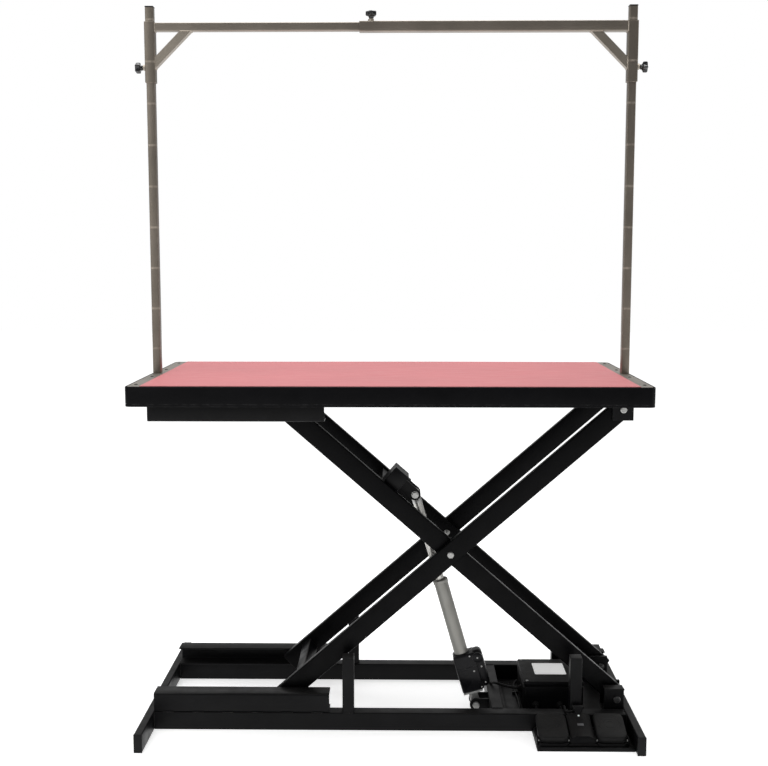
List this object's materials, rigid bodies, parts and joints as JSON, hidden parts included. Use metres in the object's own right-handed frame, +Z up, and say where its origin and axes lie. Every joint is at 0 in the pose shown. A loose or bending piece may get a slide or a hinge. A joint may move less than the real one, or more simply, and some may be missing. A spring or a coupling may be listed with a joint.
{
  "type": "grooming table",
  "caption": "Powered scissor-lift pet grooming table with a rubber-topped deck, steel base frame, foot switch and an overhead restraint bar on two posts.",
  "frame": {"origin": "on the floor, under the middle of the table top", "axes": "+X to the user's right along the long side, +Y away from the user, +Z up"},
  "size_m": [1.248, 0.632, 1.752],
  "materials": {
    "powder_coat": "satin black powder coat",
    "black_plastic": "moulded",
    "zinc_steel": "zinc plated",
    "box_plastic": "fine texture",
    "label_paper": "blank matt label",
    "circuit_board": "solder resist",
    "switch_plastic": "moulded",
    "pedal_rubber": "dark grey, matt",
    "roller_nylon": "nylon",
    "gloss_black": "gloss black",
    "cast_alloy": "cast",
    "actuator_silver": "anodised satin",
    "rod_chrome": "hard chrome",
    "board_wood": "plywood",
    "pink_rubber": "fine leather grain",
    "strip_metal": "dull brushed",
    "edge_black": "satin",
    "brushed_steel": "brushed stainless",
    "knob_black": "glossy moulded"
  },
  "bodies": {
    "base": {"left_skid": "powder_coat", "right_skid": "powder_coat", "front_rail": "powder_coat", "back_rail": "powder_coat", "tube_caps": "black_plastic", "lower_channels": "powder_coat", "base_cross_tube": "powder_coat", "stop_posts": "powder_coat", "lower_arm_brackets": "powder_coat", "base_pivot_bolts": "zinc_steel", "actuator_base_bracket": "powder_coat", "base_plate": "powder_coat", "control_box": "box_plastic", "control_box_lid": "box_plastic", "control_box_label": "label_paper", "circuit_board": "circuit_board", "pedal_tray": "powder_coat", "pedal_housing": "box_plastic", "pedal_pins": "zinc_steel", "pedal_switches": "switch_plastic", "cables": "black_plastic"},
    "up_pedal": {"up_pedal": "pedal_rubber"},
    "down_pedal": {"down_pedal": "pedal_rubber"},
    "inner_arms": {"front_inner_arm": "powder_coat", "back_inner_arm": "powder_coat", "inner_cross_tube": "powder_coat", "actuator_top_bracket": "powder_coat", "upper_axles": "zinc_steel", "inner_arm_bolts": "zinc_steel"},
    "outer_arms": {"front_outer_arm": "powder_coat", "back_outer_arm": "powder_coat", "outer_cross_tube": "powder_coat", "lower_axles": "zinc_steel"},
    "lower_rollers": {"lower_rollers": "roller_nylon"},
    "upper_rollers": {"upper_rollers": "roller_nylon"},
    "actuator": {"actuator_housing": "gloss_black", "actuator_clevis": "cast_alloy", "actuator_tube": "actuator_silver", "actuator_motor": "gloss_black", "leadscrew": "zinc_steel"},
    "rod": {"actuator_rod": "rod_chrome", "rod_eye": "cast_alloy"},
    "table": {"table_frame": "powder_coat", "edge_band": "edge_black", "deck_board": "board_wood", "rubber_mat": "pink_rubber", "end_strips": "strip_metal", "strip_screws": "zinc_steel", "upper_channels": "powder_coat", "upper_arm_brackets": "powder_coat", "upper_pivot_bolts": "zinc_steel", "left_post": "brushed_steel", "right_post": "brushed_steel", "post_caps": "black_plastic"},
    "overhead_bar": {"left_arm_bracket": "brushed_steel", "right_arm_bracket": "brushed_steel", "weld_nuts": "brushed_steel"},
    "left_knob": {"left_knob": "knob_black"},
    "right_knob": {"right_knob": "knob_black"},
    "top_knob": {"top_knob": "knob_black"}
  },
  "joints": [
    {"name": "scissor_lift", "type": "hinge", "parent": "base", "child": "inner_arms", "pos_m": [0.558, 0, 0.067], "axis": [0, 1, 0], "range_deg": [-36.5, 0]},
    {"name": "scissor_cross", "type": "hinge", "parent": "inner_arms", "child": "outer_arms", "pos_m": [0.14795, 0, 0.426], "axis": [0, 1, 0], "range_deg": [0, 73]},
    {"name": "table_level", "type": "hinge", "parent": "outer_arms", "child": "table", "pos_m": [0.558, 0, 0.785], "axis": [0, 1, 0], "range_deg": [-36.5, 0]},
    {"name": "lower_roller_spin", "type": "hinge", "parent": "outer_arms", "child": "lower_rollers", "pos_m": [-0.26211, 0, 0.067], "axis": [0, 1, 0], "continuous": true},
    {"name": "upper_roller_spin", "type": "hinge", "parent": "inner_arms", "child": "upper_rollers", "pos_m": [-0.26211, 0, 0.785], "axis": [0, 1, 0], "continuous": true},
    {"name": "actuator_tilt", "type": "hinge", "parent": "base", "child": "actuator", "pos_m": [0.2175, -0.055, 0.024], "axis": [0, 1, 0], "range_deg": [-51.39, 0]},
    {"name": "actuator_stroke", "type": "slide", "parent": "actuator", "child": "rod", "axis": [-0.2779, 0, 0.9606], "range_m": [-0.17848, 0]},
    {"name": "up_pedal_press", "type": "hinge", "parent": "base", "child": "up_pedal", "pos_m": [0.386, -0.276, 0.02], "axis": [1, 0, 0], "range_deg": [-5, 0], "stiffness_Nm_per_rad": 4, "springref_deg": 2.86},
    {"name": "down_pedal_press", "type": "hinge", "parent": "base", "child": "down_pedal", "pos_m": [0.523, -0.276, 0.02], "axis": [1, 0, 0], "range_deg": [-5, 0], "stiffness_Nm_per_rad": 4, "springref_deg": 2.86},
    {"name": "bar_height", "type": "slide", "parent": "table", "child": "overhead_bar", "axis": [0, 0, 1], "range_m": [-0.6, 0.03]},
    {"name": "left_knob_turn", "type": "hinge", "parent": "overhead_bar", "child": "left_knob", "pos_m": [-0.611, 0, 1.607], "axis": [1, 0, 0], "continuous": true},
    {"name": "right_knob_turn", "type": "hinge", "parent": "overhead_bar", "child": "right_knob", "pos_m": [0.611, 0, 1.607], "axis": [1, 0, 0], "continuous": true},
    {"name": "top_knob_turn", "type": "hinge", "parent": "overhead_bar", "child": "top_knob", "pos_m": [-0.048, 0, 1.734], "axis": [0, 0, 1], "continuous": true}
  ],
  "couplings": [
    {"joint": "scissor_cross", "follows": "scissor_lift", "ratio": -2},
    {"joint": "table_level", "follows": "scissor_lift", "ratio": 1},
    {"joint": "actuator_tilt", "follows": "scissor_lift", "ratio": 1.4077},
    {"joint": "actuator_stroke", "follows": "scissor_lift", "m_per_rad": 0.28}
  ]
}
